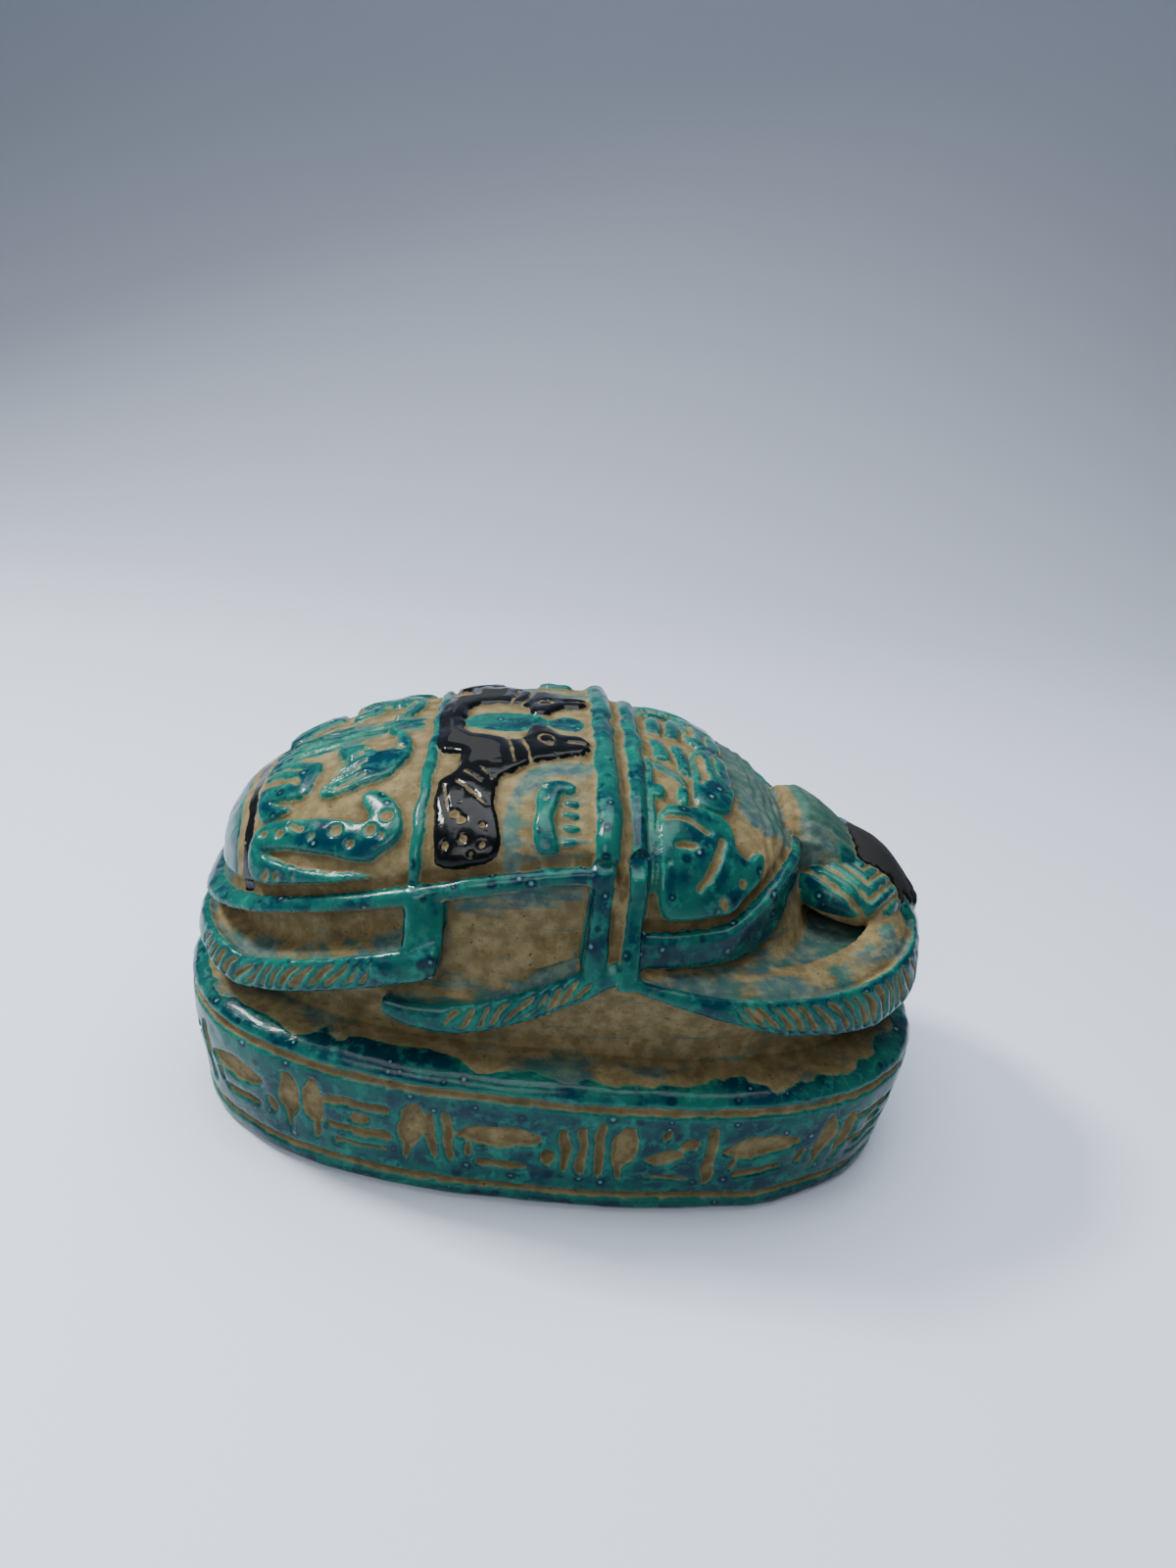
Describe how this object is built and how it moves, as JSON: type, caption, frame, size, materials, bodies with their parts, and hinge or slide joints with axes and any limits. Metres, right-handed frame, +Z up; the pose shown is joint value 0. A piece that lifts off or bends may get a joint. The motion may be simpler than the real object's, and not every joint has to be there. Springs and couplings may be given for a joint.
{
  "type": "scarab amulet",
  "caption": "Large glazed scarab: a beetle with folded legs carved on an oval base with a band of plain sunk strokes, one solid piece",
  "frame": {"origin": "on the underside, below the middle of the base", "axes": "+X towards the beetle's head, +Y to its left, +Z up"},
  "size_m": [0.14, 0.0958, 0.0751],
  "materials": {
    "glazed_stone": "worn turquoise glaze over bare sandy stone, black glaze on some figures"
  },
  "bodies": {
    "root": {"scarab": "glazed_stone"}
  },
  "joints": []
}
